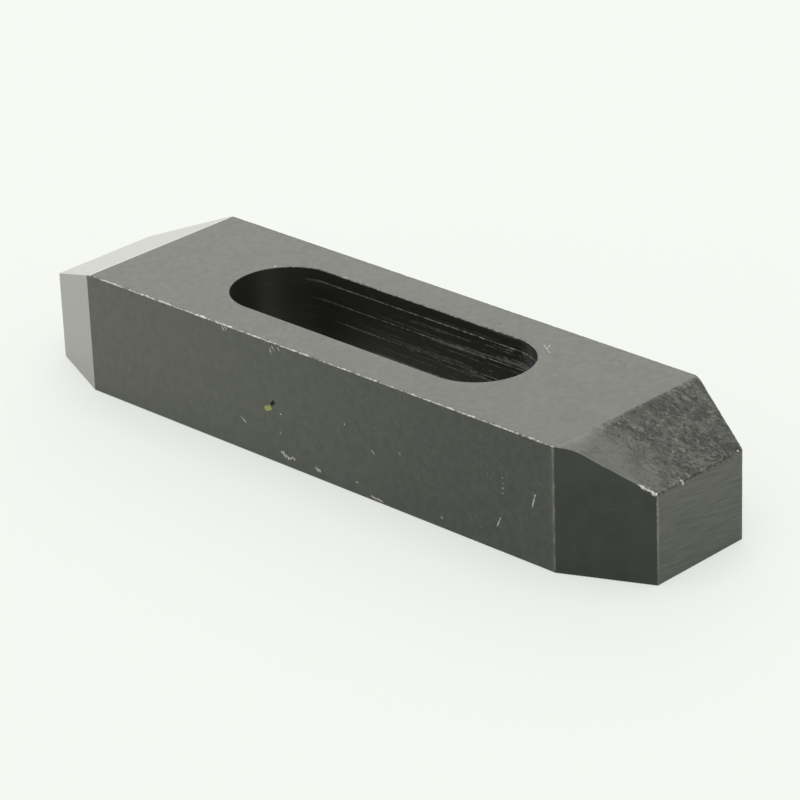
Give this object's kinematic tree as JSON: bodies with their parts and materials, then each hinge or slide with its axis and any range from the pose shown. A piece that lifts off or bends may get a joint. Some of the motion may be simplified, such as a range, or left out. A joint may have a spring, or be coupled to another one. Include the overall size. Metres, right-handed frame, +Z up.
{
  "type": "strap clamp",
  "caption": "Flat steel clamping strap with a long central slot for its stud; each end has its corners cut off and a sloped top.",
  "frame": {"origin": "middle of the flat underside, on the surface that the clamp lies on", "axes": "+Y along the bar, +X across it, +Z up through the slot towards the nut and washer; the two ends are alike, and the one at -Y is called the nose"},
  "size_m": [0.025, 0.1, 0.016],
  "materials": {
    "blackened_steel": "satin black oxide over milled and ground steel, worn bright along the top edges"
  },
  "bodies": {
    "root": {"clamp_bar": "blackened_steel"}
  },
  "joints": []
}
